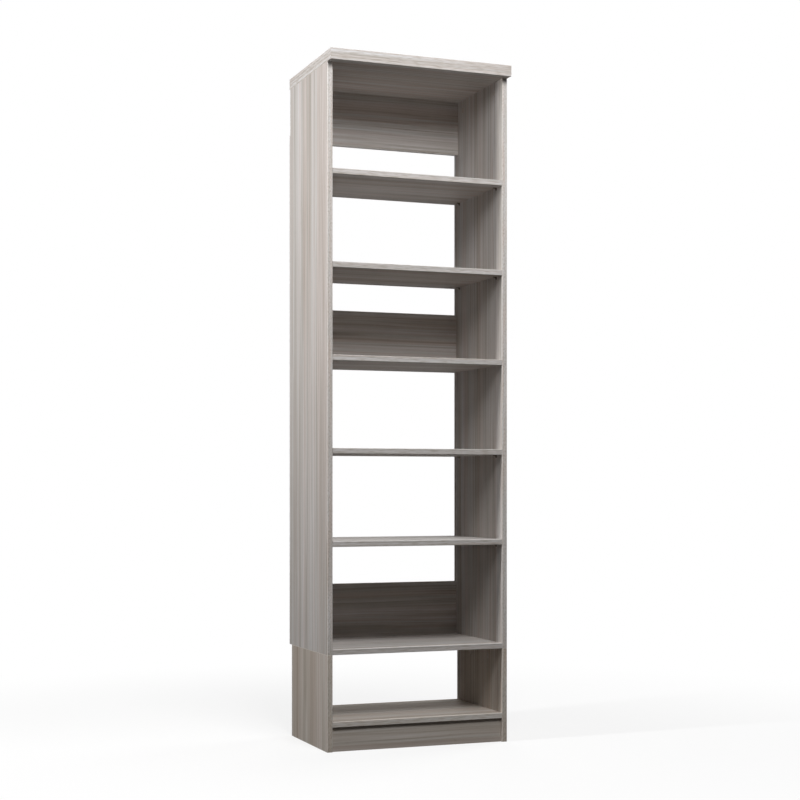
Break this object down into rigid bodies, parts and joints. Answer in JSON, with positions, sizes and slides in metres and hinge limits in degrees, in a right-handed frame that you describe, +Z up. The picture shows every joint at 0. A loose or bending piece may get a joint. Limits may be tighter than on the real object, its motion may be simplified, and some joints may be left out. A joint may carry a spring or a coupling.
{
  "type": "closet shelving unit",
  "caption": "Tall open closet shelving tower with a thick overhanging cap, level shelves, back rails and a recessed toe kick, hooked to a rail on the wall.",
  "frame": {"origin": "on the floor, under the middle of the whole unit with its cap", "axes": "+X to the right as seen from the front, +Y towards the wall behind, +Z up"},
  "size_m": [0.6096, 0.426, 2.1686],
  "materials": {
    "laminate_upright": "matt grey wood-grain melamine, grain upright",
    "laminate_level": "matt grey wood-grain melamine, grain along the board",
    "edge_band": "matt printed edge band",
    "zinc": "die-cast zinc",
    "plated_steel": "bright plated",
    "bronzed_steel": "dark bronze plated",
    "galvanised_steel": "galvanised",
    "beech": "plain turned wood",
    "cover_disc": "matt printed disc"
  },
  "bodies": {
    "carcass": {"left_upper_side": "laminate_upright", "right_upper_side": "laminate_upright", "left_lower_side": "laminate_upright", "right_lower_side": "laminate_upright", "top_cap": "laminate_level", "shelf_3": "laminate_level", "bottom_board": "laminate_level", "base_shelf": "laminate_level", "toe_kick": "laminate_level", "top_rail": "laminate_level", "middle_rail": "laminate_level", "lower_rail": "laminate_level", "left_upper_side_band": "edge_band", "right_upper_side_band": "edge_band", "left_lower_side_band": "edge_band", "right_lower_side_band": "edge_band", "top_cap_bands": "edge_band", "shelf_3_band": "edge_band", "bottom_board_band": "edge_band", "base_shelf_band": "edge_band", "top_rail_band": "edge_band", "middle_rail_band": "edge_band", "lower_rail_band": "edge_band", "upper_cam_locks": "zinc", "lower_cam_locks": "zinc", "upper_cam_bolts": "plated_steel", "lower_cam_bolts": "plated_steel", "hook_plate_screws": "plated_steel", "shelf_pins": "bronzed_steel", "wall_rail": "galvanised_steel", "hook_plates": "galvanised_steel", "upper_dowels": "beech", "lower_dowels": "beech", "cam_cover_discs": "cover_disc"},
    "shelf_1_body": {"shelf_1": "laminate_level", "shelf_1_band": "edge_band"},
    "shelf_2_body": {"shelf_2": "laminate_level", "shelf_2_band": "edge_band"},
    "shelf_4_body": {"shelf_4": "laminate_level", "shelf_4_band": "edge_band"},
    "shelf_5_body": {"shelf_5": "laminate_level", "shelf_5_band": "edge_band"}
  },
  "joints": [
    {"name": "shelf_1_slide", "type": "slide", "parent": "carcass", "child": "shelf_1_body", "axis": [0, -1, 0], "range_m": [0, 0.4]},
    {"name": "shelf_2_slide", "type": "slide", "parent": "carcass", "child": "shelf_2_body", "axis": [0, -1, 0], "range_m": [0, 0.4]},
    {"name": "shelf_4_slide", "type": "slide", "parent": "carcass", "child": "shelf_4_body", "axis": [0, -1, 0], "range_m": [0, 0.4]},
    {"name": "shelf_5_slide", "type": "slide", "parent": "carcass", "child": "shelf_5_body", "axis": [0, -1, 0], "range_m": [0, 0.4]}
  ]
}
